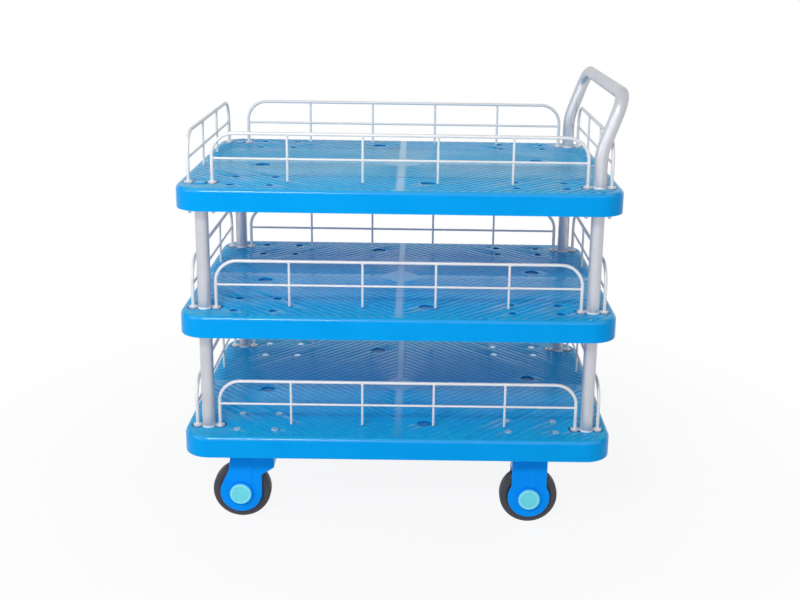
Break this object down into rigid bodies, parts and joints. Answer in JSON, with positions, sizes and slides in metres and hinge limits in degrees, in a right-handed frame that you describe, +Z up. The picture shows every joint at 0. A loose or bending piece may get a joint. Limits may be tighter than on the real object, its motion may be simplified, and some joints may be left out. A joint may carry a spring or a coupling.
{
  "type": "platform cart",
  "caption": "Tiered platform cart: moulded decks on tube posts, wire guard rails, fixed bent-tube push handle, swivel casters at one end, fixed casters at the handle end.",
  "frame": {"origin": "on the floor, under the middle of the decks", "axes": "+X towards the handle end, +Y from the front to the back, +Z up"},
  "size_m": [0.9056, 0.6, 0.9486],
  "materials": {
    "deck_plastic": "moulded gloss",
    "tube_paint": "satin powder coat",
    "rail_paint": "satin powder coat",
    "zinc_steel": "bright zinc",
    "fork_plastic": "moulded gloss",
    "cap_plastic": "moulded gloss",
    "core_plastic": "moulded matte",
    "tyre_rubber": "matte rubber"
  },
  "bodies": {
    "frame": {"lower_deck": "deck_plastic", "middle_deck": "deck_plastic", "upper_deck": "deck_plastic", "lower_post_front_left": "tube_paint", "lower_post_back_left": "tube_paint", "lower_post_front_right": "tube_paint", "lower_post_back_right": "tube_paint", "upper_post_front_left": "tube_paint", "upper_post_back_left": "tube_paint", "upper_post_front_right": "tube_paint", "upper_post_back_right": "tube_paint", "handle_tube": "tube_paint", "socket_caps": "deck_plastic", "lower_rail_front": "rail_paint", "lower_rail_back": "rail_paint", "lower_rail_left": "rail_paint", "lower_rail_right": "rail_paint", "middle_rail_front": "rail_paint", "middle_rail_back": "rail_paint", "middle_rail_left": "rail_paint", "middle_rail_right": "rail_paint", "upper_rail_front": "rail_paint", "upper_rail_back": "rail_paint", "upper_rail_left": "rail_paint", "upper_rail_right": "rail_paint", "rail_washers": "zinc_steel", "rail_nuts": "zinc_steel", "socket_screws": "zinc_steel", "caster_bolts": "zinc_steel", "caster_nuts": "zinc_steel", "kingpins": "zinc_steel", "bearing_balls": "zinc_steel", "caster_plate_front_left": "zinc_steel", "caster_plate_back_left": "zinc_steel", "caster_bracket_front_right": "fork_plastic", "caster_bracket_back_right": "fork_plastic", "axle_front_right": "zinc_steel", "axle_back_right": "zinc_steel", "hub_caps_front_right": "cap_plastic", "hub_caps_back_right": "cap_plastic"},
    "fork_front_left": {"caster_fork_front_left": "fork_plastic", "axle_front_left": "zinc_steel", "hub_caps_front_left": "cap_plastic"},
    "wheel_front_left": {"wheel_core_front_left": "core_plastic", "tyre_front_left": "tyre_rubber", "wheel_bush_front_left": "zinc_steel"},
    "fork_back_left": {"caster_fork_back_left": "fork_plastic", "axle_back_left": "zinc_steel", "hub_caps_back_left": "cap_plastic"},
    "wheel_back_left": {"wheel_core_back_left": "core_plastic", "tyre_back_left": "tyre_rubber", "wheel_bush_back_left": "zinc_steel"},
    "wheel_front_right": {"wheel_core_front_right": "core_plastic", "tyre_front_right": "tyre_rubber", "wheel_bush_front_right": "zinc_steel"},
    "wheel_back_right": {"wheel_core_back_right": "core_plastic", "tyre_back_right": "tyre_rubber", "wheel_bush_back_right": "zinc_steel"}
  },
  "joints": [
    {"name": "swivel_front_left", "type": "hinge", "parent": "frame", "child": "fork_front_left", "pos_m": [-0.3, -0.216, 0.168], "axis": [0, 0, 1], "continuous": true},
    {"name": "roll_front_left", "type": "hinge", "parent": "fork_front_left", "child": "wheel_front_left", "pos_m": [-0.338, -0.216, 0.0625], "axis": [0, 1, 0], "continuous": true},
    {"name": "swivel_back_left", "type": "hinge", "parent": "frame", "child": "fork_back_left", "pos_m": [-0.3, 0.216, 0.168], "axis": [0, 0, 1], "continuous": true},
    {"name": "roll_back_left", "type": "hinge", "parent": "fork_back_left", "child": "wheel_back_left", "pos_m": [-0.338, 0.216, 0.0625], "axis": [0, 1, 0], "continuous": true},
    {"name": "roll_front_right", "type": "hinge", "parent": "frame", "child": "wheel_front_right", "pos_m": [0.285, -0.226, 0.0625], "axis": [0, 1, 0], "continuous": true},
    {"name": "roll_back_right", "type": "hinge", "parent": "frame", "child": "wheel_back_right", "pos_m": [0.285, 0.226, 0.0625], "axis": [0, 1, 0], "continuous": true}
  ]
}
